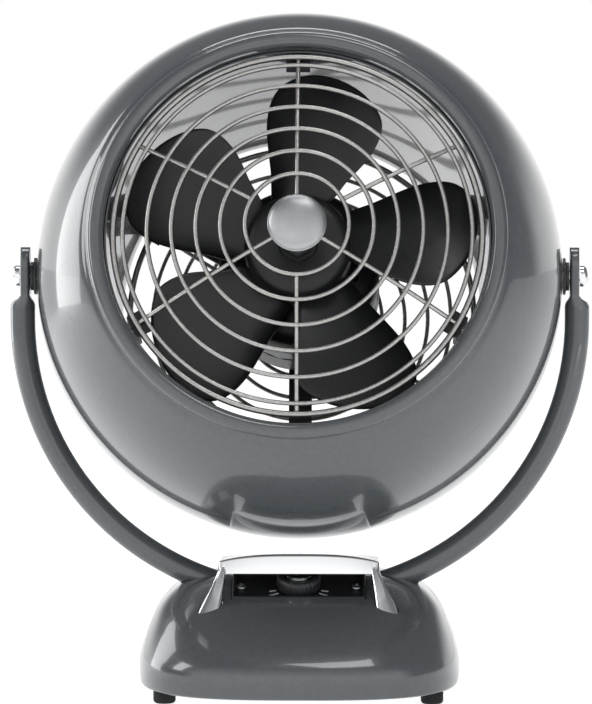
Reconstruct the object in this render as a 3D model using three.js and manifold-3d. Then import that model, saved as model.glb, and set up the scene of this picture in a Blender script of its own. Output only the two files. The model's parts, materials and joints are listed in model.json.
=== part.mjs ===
// A retro table air circulator: a spun steel ball of a housing hangs by two screws in a bent tube yoke,
// and the yoke stands on a domed, painted base with a chromed hood over its speed knob.
// Millimetres, +Z up, front towards -Y, origin on the table under the middle of the fan.
import * as THREE from "three";
import { mergeVertices } from "three/addons/utils/BufferGeometryUtils.js";
import Module from "manifold-3d";

const wasm = await Module();
wasm.setup();

// ---- Driving dimensions -------------------------------------------------------------------------
const GAP = 0.35; // between pieces that touch
const REST_TILT = 17.5; // degrees that the head looks up at rest
const PIVOT_Z = 213; // height of the tilt axis

const BALL_R = 135; // housing: radius across the fan's axis, then along it
const BALL_DEPTH = 137;
const WALL = 1; // sheet of the housing and its rolled edges
const ROLL_R = 4; // rolled edges of the mouth and of the rear opening
const ROLL_AT = [100.4, 86]; // their middle: radius, and distance from the pivot
const FLANGE_D = 68; // where the rolled edges' inner flanges end
const DUCT_R = 96; // outer radius of the inner duct
const DUCT_WALL = 0.9;
const DUCT_D = 80; // half length of the duct
const ROUND = 30; // sides of every large turned piece

const RING_PITCH = 12.2; // front grille
const FIRST_RING_R = 25.6;
const FRONT_RINGS = 6;
const FRONT_DOME = [105, 84]; // distance of the grille's middle and of its rim from the pivot
const REAR_PITCH = 12.2; // rear grille
const REAR_FIRST_R = 18.4;
const REAR_RINGS = 6;
const REAR_DOME = [97, 83];
const RIM_R = 91.6; // radius of both rim rings
const WIRE_R = 1.15;
const RIM_WIRE_R = 1.6;
const SPOKE_BACK = 1.6; // how far behind the rings the spokes lie

const BLADES = 5;
const BLADE_AT = [-1, 50]; // clock angle of the first blade, and its distance from the pivot
const BLADE_PITCH = 24; // degrees
const HUB_R = 27;
const HUB_D = [39, 67]; // rear and front of the propeller's hub
const SHAFT_R = 3.9;
const BORE_R = 4.3; // holes that turn on the shaft or hold it

const MOTOR_R = 41;
const MOTOR_D = [26, -44]; // front and back of the motor, from the pivot
const CORE_HALF = 6.65; // half length of the stator core

const TUBE_R = 6.35; // yoke
const YOKE_HALF = 142.6; // from the middle to the tube's centreline at the arms
const YOKE_BEND_Z = 190.5; // centre of the half circle
const TAB_X = [138.6, 143.6]; // inner and outer faces of the flattened tab
const TAB_HALF = 8.5;
const TAB_Z = [200, 228];
const PIVOT_SHANK_R = 2.5;
const PIVOT_HOLE_R = 2.9;

const BASE_Z = 6; // underside of the base's skirt
const BASE_WALL = 1.8;
const BASE_SECTIONS = [
  // height, half width, reach to the front, reach to the rear
  [BASE_Z, 80.5, 86, 90],
  [8, 82, 87.5, 92],
  [18, 82.3, 88, 92],
  [25, 80.9, 84, 90],
  [35, 77.3, 73, 84],
  [45.5, 71.9, 57, 75],
  [54, 62.4, 38, 62],
  [58, 50, 26, 50],
  [60, 34, 12, 34],
];
const BASE_TOP = 60.5;
const SQUARENESS = 2 / 3; // power that squares the base's outline
const PLATE_Z = [6.2, 8.6];
const FOOT_AT = [67.6, -54, 58]; // x, front y, rear y
const FOOT_R = 5.7;

const PANEL_TILT = 22; // slope of the control panel, degrees
const PANEL_AT = [0, -28, 55.5]; // middle of the knob's foot
const TRAY_HALF = [34, 14.5];
const KNOB_R = 11.5;
const HOOD_Y = [-38, 16];
const HOOD_Z = [63.7, 73.6]; // lower edge and crown at the front
const HOOD_REAR_RISE = 0.45; // the crown's height at the rear, as a part of that at the front
const HOOD_HALF = 41;
const HOOD_T = 2.2;
const LEG_TOP = { z: 66, x: 38.5, half: 2 }; // where a leg leaves the hood: its middle and half width
const LEG_SPREAD = { x: 0.32, half: 0.2 }; // how both grow for each millimetre down
const CORD_Z = 18; // height of the mains inlet in the rear wall

// ---- Materials ----------------------------------------------------------------------------------
const finish = (color, roughness, metalness) =>
  new THREE.MeshStandardMaterial({ color, roughness, metalness });
const GREY_ENAMEL = finish(0x6e7275, 0.2, 0.1);
const CHROME = finish(0xe6e8ea, 0.08, 1);
const SATIN_NICKEL = finish(0xb8babc, 0.35, 1);
const ZINC = finish(0xc8cacc, 0.3, 1);
const STEEL = finish(0x9a9c9e, 0.4, 1);
const BLACK_PLASTIC = finish(0x161617, 0.5, 0);
const BLACK_PAINT = finish(0x1d1e1f, 0.45, 0.2);
const RUBBER = finish(0x18191a, 0.85, 0);
const COPPER = finish(0xa8623a, 0.45, 0.8);
const BRONZE = finish(0x9b7a4a, 0.5, 0.9);

// ---- Helpers ------------------------------------------------------------------------------------
const rad = THREE.MathUtils.degToRad;

// A closed geometry as a manifold-3d solid.
function solid(geometry) {
  const g = geometry.index ? geometry.toNonIndexed() : geometry.clone();
  g.deleteAttribute("normal");
  g.deleteAttribute("uv");
  const merged = mergeVertices(g, 1e-4);
  const corners = merged.index.array;
  const kept = [];
  for (let i = 0; i < corners.length; i += 3) {
    const [a, b, c] = corners.slice(i, i + 3);
    if (a !== b && b !== c && c !== a) kept.push(a, b, c);
  }
  return new wasm.Manifold(
    new wasm.Mesh({
      numProp: 3,
      vertProperties: merged.attributes.position.array,
      triVerts: new Uint32Array(kept),
    }),
  );
}

const join = (geometries) => geometries.map(solid).reduce((a, b) => a.add(b));
const cut = (from, geometries) => geometries.map(solid).reduce((a, b) => a.subtract(b), from);

// Adds one named piece to a group, from a geometry or from a manifold-3d solid.
function piece(group, name, shape, material) {
  const made = (shape.isBufferGeometry ? solid(shape) : shape).getMesh();
  const geometry = new THREE.BufferGeometry();
  const places = new Float32Array(made.vertProperties);
  geometry.setAttribute("position", new THREE.BufferAttribute(places, 3));
  geometry.setIndex(new THREE.BufferAttribute(new Uint32Array(made.triVerts), 1));
  geometry.computeVertexNormals();
  const mesh = new THREE.Mesh(geometry, material);
  mesh.name = name;
  group.add(mesh);
}

// Turns a closed outline of [radius, height] about the Y axis, whichever way round it is drawn.
function lathe(outline, segments) {
  const next = (i) => outline[(i + 1) % outline.length];
  const area = outline.reduce((sum, [r, h], i) => sum + r * next(i)[1] - next(i)[0] * h, 0);
  const ordered = area > 0 ? outline : [...outline].reverse();
  const points = [...ordered, ordered[0]].map(([r, h]) => new THREE.Vector2(r, h));
  return new THREE.LatheGeometry(points, segments);
}

// The same, with heights along +X, along +Z, or forwards from the pivot (towards -Y).
const latheX = (outline, segments = 12) => lathe(outline, segments).rotateZ(-Math.PI / 2);
const latheZ = (outline, segments = 12) => lathe(outline, segments).rotateX(Math.PI / 2);
const latheForward = (outline, segments = 12) =>
  lathe(outline.map(([r, d]) => [r, -d]), segments);

// Outlines for the lathe: a tube or disc, a wire ring, an arc, and a screw with its head at one end.
const band = (inner, outer, low, high) =>
  [[inner, low], [outer, low], [outer, high], [inner, high]];

function arc(r, h, radius, from, to, steps) {
  return Array.from({ length: steps + 1 }, (_, i) => {
    const angle = rad(from + ((to - from) * i) / steps);
    return [r + radius * Math.cos(angle), h + radius * Math.sin(angle)];
  });
}

const ring = (r, d, wireR) =>
  latheForward(arc(r, d, wireR, 45, 315, 3), r < 45 ? ROUND - 12 : ROUND - 6);

function screw(shankR, headR, tip, seat, top) {
  const rim = seat + (top - seat) * 0.6;
  const crown = headR * 0.7;
  return [[0, tip], [shankR, tip], [shankR, seat], [headR, seat], [headR, rim], [crown, top], [0, top]];
}

// A flat outline pushed out along +Z, and the same drawn in the X-Z or the Y-Z plane.
function slab(points, depth, hole) {
  const shape = new THREE.Shape(points.map(([x, y]) => new THREE.Vector2(x, y)));
  if (hole) shape.holes.push(hole);
  return new THREE.ExtrudeGeometry(shape, { depth, bevelEnabled: false, curveSegments: 6 });
}

const slabXZ = (points, low, high) =>
  slab(points, high - low).rotateX(Math.PI / 2).translate(0, high, 0);
const slabYZ = (points, low, high) =>
  slab(points, high - low).rotateX(Math.PI / 2).rotateZ(Math.PI / 2).translate(low, 0, 0);

function box(low, high) {
  const size = high.map((h, i) => h - low[i]);
  const middle = high.map((h, i) => (h + low[i]) / 2);
  return new THREE.BoxGeometry(...size).translate(...middle);
}

// A round wire along a path; curveSegments counts half of its sides.
function wire(path, radius, steps, sides = 4) {
  const shape = new THREE.Shape();
  shape.absarc(0, 0, radius, 0, 2 * Math.PI, false);
  const options = { steps, curveSegments: sides / 2, bevelEnabled: false, extrudePath: path };
  return new THREE.ExtrudeGeometry(shape, options);
}

// Moves every corner of a geometry to the place that a function gives.
function reshape(geometry, place) {
  const at = geometry.attributes.position;
  for (let i = 0; i < at.count; i += 1) {
    at.setXYZ(i, ...place(at.getX(i), at.getY(i), at.getZ(i)));
  }
  return geometry;
}

// Something drawn at 12 o'clock, turned to another hour about the fan's axis.
const atClock = (geometry, degrees) => geometry.rotateY(rad(degrees));

// ---- Groups -------------------------------------------------------------------------------------
const fan = new THREE.Group();
const stand = new THREE.Group();
const head = new THREE.Group();
head.position.set(0, 0, PIVOT_Z);
head.rotation.x = -rad(REST_TILT);
const control = new THREE.Group();
control.position.set(...PANEL_AT);
control.rotation.x = rad(PANEL_TILT);
fan.add(stand, head, control);

// ---- Housing ------------------------------------------------------------------------------------
// Points on the ball between two distances along the axis, sunk by an inset.
function ballArc(from, to, inset, steps) {
  const start = Math.asin(from / BALL_DEPTH);
  const end = Math.asin(to / BALL_DEPTH);
  return Array.from({ length: steps + 1 }, (_, i) => {
    const angle = start + ((end - start) * i) / steps;
    return [(BALL_R - inset) * Math.cos(angle), (BALL_DEPTH - inset) * Math.sin(angle)];
  });
}

function rolledEdge() {
  const [r, d] = ROLL_AT;
  const inner = ROLL_R - WALL;
  return [
    ...arc(r, d, ROLL_R, 15, 180, 4),
    [r - ROLL_R, FLANGE_D],
    [r - inner, FLANGE_D],
    ...arc(r, d, inner, 180, 25, 3),
  ];
}

// A screw, or a hole for one, that runs outwards through the wall at 12 o'clock.
const wallScrewHole = (d) => latheZ(band(0, 2, 88, 104), 6).translate(0, -d, 0);
const wallScrew = (d) => latheZ(screw(1.55, 3, 101, 92, 89.2), 8).translate(0, -d, 0);
const GRILLE_HOURS = [0, 120, 240];
const SPIDER_HOURS = [60, 180, 300];
const GRILLE_SCREW_D = 73;
const SPIDER_SCREW_D = -60;

function housingShell() {
  const reach = ROLL_AT[1] - ROLL_R * 0.7;
  const edge = rolledEdge();
  const rear = edge.map(([r, d]) => [r, -d]).reverse();
  const outline = [
    ...ballArc(-reach, reach, 0, 10),
    ...edge,
    ...ballArc(reach - WALL, WALL - reach, WALL, 8),
    ...rear,
  ];
  const pivotHoles = [band(0, PIVOT_HOLE_R, 128, 140), band(0, PIVOT_HOLE_R, -140, -128)];
  const screwHoles = GRILLE_HOURS.map((hour) => atClock(wallScrewHole(GRILLE_SCREW_D), hour));
  return cut(solid(latheForward(outline, ROUND)), [
    ...pivotHoles.map((hole) => latheX(hole)),
    ...screwHoles,
  ]);
}

function innerDuct() {
  const tube = latheForward(band(DUCT_R - DUCT_WALL, DUCT_R, -DUCT_D, DUCT_D), ROUND);
  return cut(solid(tube), [
    ...GRILLE_HOURS.map((hour) => atClock(wallScrewHole(GRILLE_SCREW_D), hour)),
    ...SPIDER_HOURS.map((hour) => atClock(wallScrewHole(SPIDER_SCREW_D), hour)),
  ]);
}

piece(head, "housing_shell", housingShell(), GREY_ENAMEL);
piece(head, "inner_duct", innerDuct(), GREY_ENAMEL);

// ---- Grilles ------------------------------------------------------------------------------------
const domed = ([middle, rim], r) => middle - (middle - rim) * (r / RIM_R) ** 2;

// A spoke at 12 o'clock that follows a dome just behind its rings; side is 1 in front, -1 at the rear.
function spoke(dome, from, side) {
  const points = [0, 1, 2, 3].map((i) => {
    const r = from + ((RIM_R - from) * i) / 3;
    return new THREE.Vector3(0, side * (SPOKE_BACK - domed(dome, r)), r);
  });
  return wire(new THREE.CatmullRomCurve3(points), WIRE_R, 4);
}

function frontGrille() {
  const rings = Array.from({ length: FRONT_RINGS }, (_, i) => {
    const r = FIRST_RING_R + RING_PITCH * i;
    return ring(r, domed(FRONT_DOME, r), WIRE_R);
  });
  const long = GRILLE_HOURS.map((hour) => atClock(spoke(FRONT_DOME, 4.5, 1), hour));
  const short = SPIDER_HOURS.map((hour) => atClock(spoke(FRONT_DOME, FIRST_RING_R, 1), hour));
  return join([...rings, ring(RIM_R, FRONT_DOME[1], RIM_WIRE_R), ...long, ...short]);
}

function rearGrille() {
  const rings = Array.from({ length: REAR_RINGS }, (_, i) => {
    const r = REAR_FIRST_R + REAR_PITCH * i;
    return ring(r, -domed(REAR_DOME, r), WIRE_R);
  });
  const hours = [...GRILLE_HOURS, ...SPIDER_HOURS];
  const spokes = hours.map((hour) => atClock(spoke(REAR_DOME, 10, -1), hour));
  const disc = latheForward(band(0, 15, -95, -93.6), 18);
  return join([...rings, ring(RIM_R, -REAR_DOME[1], RIM_WIRE_R), ...spokes, disc]);
}

// A bent strip at 12 o'clock: it lies along the duct and turns inwards behind a rim ring.
function grilleClip() {
  const front = FRONT_DOME[1] - 3.1;
  const outline = [[66, 94], [66, 92.4], [front - 1.4, 92.4], [front - 1.4, 85], [front, 85], [front, 94]];
  const strip = slabYZ(outline.map(([d, r]) => [-d, r]).reverse(), -6, 6);
  return cut(solid(strip), [wallScrewHole(GRILLE_SCREW_D)]);
}

piece(head, "front_grille", frontGrille(), SATIN_NICKEL);
piece(head, "rear_grille", rearGrille(), SATIN_NICKEL);
piece(head, "grille_centre_plate", latheForward(band(2.4, 13.5, 99.9, 101.3), 18), SATIN_NICKEL);
const CAP_OUTLINE = [[0, 96.4], [2, 96.4], [2, 105], [14.2, 105], [14.7, 106], [13.4, 107.4], [9, 109], [0, 109.8]];
piece(head, "hub_cap", latheForward(CAP_OUTLINE, 20), CHROME);
piece(head, "hub_cap_nut", latheForward(band(2.4, 4.4, 97.4, 99.55), 6), ZINC);
GRILLE_HOURS.forEach((hour, i) => {
  const turned = (shape) => (shape.isBufferGeometry ? atClock(shape, hour) : shape.rotate([0, hour, 0]));
  piece(head, `grille_clip_${i + 1}`, turned(grilleClip()), BLACK_PAINT);
  piece(head, `clip_screw_${i + 1}`, turned(wallScrew(GRILLE_SCREW_D)), ZINC);
});

// ---- Motor --------------------------------------------------------------------------------------
const MOTOR_MID = (MOTOR_D[0] + MOTOR_D[1]) / 2;
const BELL_EDGE = MOTOR_MID + CORE_HALF + GAP;

// One bell of the motor case, for the front (side = 1) or the rear (side = -1).
function motorBell(side) {
  const front = MOTOR_D[0];
  const seat = [9.35, 12];
  const outline = [
    [6, front], [34, front], [MOTOR_R, front - 7], [MOTOR_R, BELL_EDGE],
    [MOTOR_R - 2, BELL_EDGE], [MOTOR_R - 2, front - 8], [33, front - 2], [seat[1], front - 2],
    [seat[1], front - 13], [seat[0], front - 13], [seat[0], front - 2.5], [6, front - 2.5],
  ];
  return latheForward(outline.map(([r, d]) => [r, MOTOR_MID + side * (d - MOTOR_MID)]), 20);
}

// A spider of three arms behind the motor; the arms turn along the duct and hold the rear grille.
function motorSpider() {
  const [near, far] = [MOTOR_D[1] - GAP - 2.2, MOTOR_D[1] - GAP];
  const rear = 3.1 - REAR_DOME[1];
  const arm = [
    [far, 30], [near, 30], [near, 92.4], [rear + 1.4, 92.4], [rear + 1.4, 85],
    [rear, 85], [rear, 94], [far, 94],
  ];
  const arms = SPIDER_HOURS.map((hour) => {
    return atClock(slabYZ(arm.map(([d, r]) => [-d, r]), -6, 6), hour);
  });
  const holes = SPIDER_HOURS.map((hour) => atClock(wallScrewHole(SPIDER_SCREW_D), hour));
  return cut(join([latheForward(band(12, 34, near, far), 20), ...arms]), holes);
}

const winding = (side) => {
  const near = MOTOR_MID + side * (CORE_HALF + GAP);
  return latheForward(band(27, 38, near, near + side * 10), 20);
};
const bearing = (side) => {
  const near = MOTOR_MID + side * (MOTOR_D[0] - 12.6 - MOTOR_MID);
  return latheForward(band(BORE_R, 9, near, near + side * 9), 20);
};
const core = band(26.5, MOTOR_R, MOTOR_MID - CORE_HALF, MOTOR_MID + CORE_HALF);

piece(head, "motor_front_bell", motorBell(1), BLACK_PAINT);
piece(head, "motor_rear_bell", motorBell(-1), BLACK_PAINT);
piece(head, "stator_core", latheForward(core, 24), STEEL);
piece(head, "winding_front", winding(1), COPPER);
piece(head, "winding_rear", winding(-1), COPPER);
piece(head, "bearing_front", bearing(1), BRONZE);
piece(head, "bearing_rear", bearing(-1), BRONZE);
piece(head, "motor_spider", motorSpider(), BLACK_PAINT);
SPIDER_HOURS.forEach((hour, i) => {
  piece(head, `spider_screw_${i + 1}`, atClock(wallScrew(SPIDER_SCREW_D), hour), ZINC);
});

// ---- Rotor and blades ---------------------------------------------------------------------------
// One paddle at 12 o'clock: a straight leading edge, a round tip and a bulging trailing edge.
function blade() {
  const points = [
    [-12, 20], [-15.5, 45], [-17, 70], [-11, 86], [4, 92], [22, 88],
    [38, 76.5], [46.5, 61], [41, 46], [27, 33], [14, 22],
  ];
  const edge = new THREE.SplineCurve(points.map(([x, y]) => new THREE.Vector2(x, y)));
  const flat = slabXZ(edge.getPoints(18).map((p) => [p.x, p.y]), -0.9, 0.9);
  return flat.rotateZ(-rad(BLADE_PITCH)).translate(0, -BLADE_AT[1], 0);
}

function propeller() {
  const [rear, front] = HUB_D;
  const hub = [
    [BORE_R, rear], [24, rear], [HUB_R, rear + 4], [HUB_R, front - 7], [22, front], [BORE_R, front],
  ];
  const blades = Array.from({ length: BLADES }, (_, i) => {
    return atClock(blade(), BLADE_AT[0] + (360 * i) / BLADES);
  });
  return cut(join([latheForward(hub, 24), ...blades]), [latheForward(band(0, BORE_R, rear - 9, front + 13))]);
}

piece(head, "propeller", propeller(), BLACK_PAINT);
piece(head, "motor_shaft", latheForward(band(0, SHAFT_R, MOTOR_D[1] + 2.85, HUB_D[1] + 8)), STEEL);
const rotorBand = band(BORE_R, 25.2, MOTOR_MID - CORE_HALF - 1.5, MOTOR_MID + CORE_HALF + 1.5);
piece(head, "rotor_core", latheForward(rotorBand, 24), STEEL);
const nutBand = band(BORE_R + 0.5, 7.5, HUB_D[1] + GAP, HUB_D[1] + 5.5);
piece(head, "propeller_nut", latheForward(nutBand, 6), ZINC);

// ---- Pivots -------------------------------------------------------------------------------------
const SPACER = [
  [PIVOT_HOLE_R, BALL_R + GAP], [9.5, BALL_R + GAP], [9.5, BALL_R + 1.5], [7.3, BALL_R + 1.5],
  [7.3, TAB_X[0] - GAP], [PIVOT_HOLE_R, TAB_X[0] - GAP],
];
const PIVOT_SCREW = screw(PIVOT_SHANK_R, 5.6, 122, TAB_X[1] + GAP, 148.6);
for (const [side, turn] of [["right", 0], ["left", Math.PI]]) {
  piece(head, `pivot_boss_${side}`, latheX(band(PIVOT_HOLE_R, 8, 119, 132.3)).rotateZ(turn), STEEL);
  piece(head, `pivot_spacer_${side}`, latheX(SPACER).rotateZ(turn), BLACK_PLASTIC);
  piece(head, `pivot_screw_${side}`, latheX(PIVOT_SCREW).rotateZ(turn), CHROME);
}

// ---- Yoke ---------------------------------------------------------------------------------------
function yokePath() {
  const corner = (side, z) => new THREE.Vector3(side * YOKE_HALF, 0, z);
  const bend = Array.from({ length: 25 }, (_, i) => {
    const angle = (Math.PI * i) / 24;
    const x = -YOKE_HALF * Math.cos(angle);
    return new THREE.Vector3(x, 0, YOKE_BEND_Z - YOKE_HALF * Math.sin(angle));
  });
  return new THREE.CatmullRomCurve3([corner(-1, TAB_Z[0] + 2), ...bend, corner(1, TAB_Z[0] + 2)]);
}

function yokeTube() {
  const half = slabYZ([[-TAB_HALF, TAB_Z[0]], [TAB_HALF, TAB_Z[0]], [TAB_HALF, 221], [5, TAB_Z[1]],
    [-5, TAB_Z[1]], [-TAB_HALF, 221]], TAB_X[0], TAB_X[1]);
  const tabs = [half, half.clone().rotateZ(Math.PI)];
  const hole = band(0, PIVOT_HOLE_R, 130, 150);
  return cut(join([wire(yokePath(), TUBE_R, 36, 10), ...tabs]), [
    latheX(hole).translate(0, 0, PIVOT_Z),
    latheX(hole).rotateZ(Math.PI).translate(0, 0, PIVOT_Z),
  ]);
}

const yokeSleeve = () => wire(yokePath(), TUBE_R + GAP + 0.25, 36, 10);
piece(stand, "yoke_tube", yokeTube(), GREY_ENAMEL);

// ---- Base ---------------------------------------------------------------------------------------
const squared = (value) => Math.sign(value) * Math.abs(value) ** SQUARENESS;

// A closed, squared-off dome from a list of sections, each [height, half width, front, rear].
function dome(sections, top) {
  const outline = [[0, 0], ...sections.map((_, i) => [1, i + 1]), [0, sections.length + 1]];
  return reshape(latheZ(outline, 32), (x, y, z) => {
    const level = Math.round(z);
    const edge = Math.hypot(x, y) > 0.5;
    if (level === 0) return [0, 0, sections[0][0]];
    if (!edge) return [0, 0, top];
    const [height, half, front, rear] = sections[level - 1];
    return [squared(x) * half, squared(y) * (y < 0 ? front : rear), height];
  });
}

// The plan of the base at its skirt, pulled in by an inset.
function skirtPlan(inset) {
  const [, half, front, rear] = BASE_SECTIONS[0];
  return Array.from({ length: 32 }, (_, i) => {
    const angle = (2 * Math.PI * i) / 32;
    const [x, y] = [squared(Math.cos(angle)), squared(Math.sin(angle))];
    return [x * (half - inset), y * ((y < 0 ? front : rear) - inset)];
  });
}

const BOSSES = [[0, -66], [0, 72]];

// One front leg of the hood: it leans forwards and outwards, and widens, down into a slot in the base.
function hoodLeg(side, margin) {
  const outline = [
    [-31 + margin, 67], [-52.5 + margin, 39 - margin], [-59.5 - margin, 39 - margin], [-38 - margin, 67],
  ];
  return reshape(slabYZ(outline.reverse(), -1, 1), (x, y, z) => {
    const drop = LEG_TOP.z - z;
    const middle = LEG_TOP.x + drop * LEG_SPREAD.x;
    return [side * middle + x * (LEG_TOP.half + drop * LEG_SPREAD.half + margin), y, z];
  });
}

// A block in the control panel's own frame, brought to its place on the base.
const onPanel = (geometry) => geometry.rotateX(rad(PANEL_TILT)).translate(...PANEL_AT);

function baseShell() {
  const outer = solid(dome(BASE_SECTIONS, BASE_TOP));
  const inside = BASE_SECTIONS.filter((_, i) => i !== 1).map(([z, half, front, rear], i) => {
    return [z - (i < 1 ? 1 : BASE_WALL), half - BASE_WALL, front - BASE_WALL, rear - BASE_WALL];
  });
  const hollow = outer.subtract(solid(dome(inside, BASE_TOP - BASE_WALL)));
  const bosses = BOSSES.map(([x, y]) => {
    return solid(latheZ(band(0, 4.2, 8.95, 50), 10).translate(x, y, 0)).intersect(outer);
  });
  const [half, depth] = TRAY_HALF.map((h) => h + GAP);
  return cut(bosses.reduce((a, b) => a.add(b), hollow), [
    yokeSleeve(),
    hoodLeg(1, 0.6),
    hoodLeg(-1, 0.6),
    onPanel(box([-half, -depth, -6], [half, depth, 12])),
    latheZ(band(0, 5, 80, 98), 10).rotateX(-Math.PI / 2).translate(0, 0, CORD_Z),
    ...BOSSES.map(([x, y]) => latheZ(band(0, 1.7, 0, 20), 8).translate(x, y, 0)),
  ]);
}

function basePlate() {
  const plan = slab(skirtPlan(BASE_WALL + 0.6), PLATE_Z[1] - PLATE_Z[0]).translate(0, 0, PLATE_Z[0]);
  const holes = FEET.map(([, x, y]) => latheZ(band(0, 2.8, 0, 20), 10).translate(x, y, 0));
  const screwHoles = BOSSES.map(([x, y]) => latheZ(band(0, 2, 0, 20), 8).translate(x, y, 0));
  return cut(solid(plan), [...holes, ...screwHoles]);
}

const [FOOT_X, FOOT_FRONT, FOOT_REAR] = FOOT_AT;
const FEET = [
  ["foot_front_left", -FOOT_X, FOOT_FRONT],
  ["foot_front_right", FOOT_X, FOOT_FRONT],
  ["foot_rear_left", -FOOT_X, FOOT_REAR],
  ["foot_rear_right", FOOT_X, FOOT_REAR],
];
const FOOT_OUTLINE = [
  [0, 0], [FOOT_R - 0.8, 0], [FOOT_R, 1], [FOOT_R, PLATE_Z[0] - GAP],
  [2.4, PLATE_Z[0] - GAP], [2.4, PLATE_Z[1] + 0.8], [0, PLATE_Z[1] + 0.8],
];

piece(stand, "base_shell", baseShell(), GREY_ENAMEL);
piece(stand, "base_plate", basePlate(), STEEL);
for (const [name, x, y] of FEET) {
  piece(stand, name, latheZ(FOOT_OUTLINE).translate(x, y, 0), RUBBER);
}
BOSSES.forEach(([x, y], i) => {
  const outline = screw(1.35, 3.4, 18, PLATE_Z[0] - GAP, 4.2);
  piece(stand, `plate_screw_${i + 1}`, latheZ(outline, 8).translate(x, y, 0), ZINC);
});

// The yoke lies in a cradle on the bottom plate, and a clamp with two screws holds it down.
const CLAMP_Y = 11;
const clampHole = (y) => latheZ(band(0, 2, 30, 70), 8).translate(0, y, 0);
const CRADLE = [[-16, PLATE_Z[1] + GAP], [16, PLATE_Z[1] + GAP], [15, 47.5], [-15, 47.5]];
const clampHoles = [-CLAMP_Y, CLAMP_Y].map(clampHole);
const cradle = cut(solid(slabYZ(CRADLE, -14, 14)), [yokeSleeve(), ...clampHoles]);
piece(stand, "yoke_cradle", cradle, ZINC);
const clamp = cut(solid(box([-10, -15, 47.85], [10, 15, 56])), [yokeSleeve(), ...clampHoles]);
piece(stand, "yoke_clamp", clamp, ZINC);
[-CLAMP_Y, CLAMP_Y].forEach((y, i) => {
  const outline = screw(1.65, 3, 32, 56 + GAP, 57.8);
  piece(stand, `clamp_screw_${i + 1}`, latheZ(outline, 8).translate(0, y, 0), ZINC);
});

// A flanged bush lines the mains inlet.
const BUSH = [[2.6, 86], [4.6, 86], [4.6, 92.4], [6.8, 92.4], [6.2, 94.4], [2.6, 94.4]];
const bush = latheZ(BUSH, 10).rotateX(-Math.PI / 2).translate(0, 0, CORD_Z);
piece(stand, "cord_inlet_bush", bush, RUBBER);

// ---- Hood ---------------------------------------------------------------------------------------
function hood() {
  const [low, crown] = HOOD_Z;
  const arch = (inset) => Array.from({ length: 9 }, (_, i) => {
    const x = (HOOD_HALF - 4) * (i / 4 - 1);
    return [x, crown - inset - 3.2 * (x / HOOD_HALF) ** 2];
  });
  const inner = HOOD_HALF - HOOD_T;
  const outline = [
    [-HOOD_HALF, low], [-HOOD_HALF, low + 3.2], ...arch(0), [HOOD_HALF, low + 3.2], [HOOD_HALF, low],
    [inner, low], [inner, low + 2], ...arch(HOOD_T).reverse(), [-inner, low + 2], [-inner, low],
  ];
  const sunk = (z, y) => low + (z - low) * (y > 0 ? HOOD_REAR_RISE : 1);
  const cap = reshape(slabXZ(outline.reverse(), ...HOOD_Y), (x, y, z) => [x, y, sunk(z, y)]);
  const backPlan = [
    [-34, 61.2], [34, 61.2], [39.6, 64.4], [36, 66.5], [0, 67.8], [-36, 66.5], [-39.6, 64.4],
  ];
  const back = slabXZ(backPlan, HOOD_Y[1] - 2.4, HOOD_Y[1] - 0.4);
  const frontPlan = [[-HOOD_HALF + 1, low], [HOOD_HALF - 1, low], ...arch(1).reverse()];
  const front = slabXZ(frontPlan, HOOD_Y[0], HOOD_Y[0] + HOOD_T);
  return join([cap, back, front, hoodLeg(1, 0), hoodLeg(-1, 0)]);
}

piece(stand, "hood", hood(), CHROME);

// ---- Control panel ------------------------------------------------------------------------------
const [TRAY_X, TRAY_Y] = TRAY_HALF;
const DIAL_SCREW_X = 29.5;
const panelHole = (x, r) => latheZ(band(0, r, -30, 20), 8).translate(x, 0, 0);

function dialTray() {
  const walls = cut(solid(box([-TRAY_X, -TRAY_Y, -2.2], [TRAY_X, TRAY_Y, 2.4])), [
    box([-TRAY_X + 1.4, -TRAY_Y + 1.4, -0.2], [TRAY_X - 1.4, TRAY_Y - 1.4, 9]),
  ]);
  return cut(walls, [panelHole(0, 3.9), panelHole(DIAL_SCREW_X, 1.8), panelHole(-DIAL_SCREW_X, 1.8)]);
}

function switchBracket() {
  return cut(solid(box([-33, -5.5, -4.2], [33, 5.5, -2.55])), [
    panelHole(0, 3.9),
    panelHole(DIAL_SCREW_X, 1.8),
    panelHole(-DIAL_SCREW_X, 1.8),
  ]);
}

piece(control, "dial_tray", dialTray(), BLACK_PLASTIC);
piece(control, "switch_bracket", switchBracket(), ZINC);
for (const [side, x] of [["right", DIAL_SCREW_X], ["left", -DIAL_SCREW_X]]) {
  const outline = screw(1.4, 2.7, -7, GAP - 0.2, 1.6);
  piece(control, `dial_screw_${side}`, latheZ(outline, 8).translate(x, 0, 0), ZINC);
}
const switchBody = cut(solid(box([-7, -7, -14.5], [7, 7, -4.55])), [latheZ(band(0, 3.5, -12, 0), 12)]);
piece(control, "switch_body", switchBody, BLACK_PLASTIC);
piece(control, "switch_nut", latheZ(band(3.7, 6.4, 0.15, 2), 12), ZINC);

const KNOB = [
  [3.4, 2.6], [8.8, 2.6], [8.8, 0.7], [KNOB_R - 0.5, 0.7], [KNOB_R, 1.4], [KNOB_R, 6],
  [10.4, 7.6], [7.4, 7.6], [7.4, 6.5], [3.4, 6.5],
];
piece(control, "speed_knob", latheZ(KNOB, 20), BLACK_PLASTIC);
piece(control, "knob_cap", latheZ([[0, 6.85], [7, 6.85], [7, 7.9], [6, 8.3], [0, 8.5]], 20), CHROME);
piece(control, "switch_shaft", latheZ(band(0, 3, -11, 6.2)), STEEL);

export default fan;
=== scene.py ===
# A grey enamelled table air circulator, put together from the bottom up: base, yoke, hood, housing,
# grilles, motor, blades and pivots. Sizes are in millimetres and the factor MM makes them metres.
import json
from math import asin, cos, pi, radians, sin, sqrt

import bmesh
import bpy
from mathutils import Matrix, Vector


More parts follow.
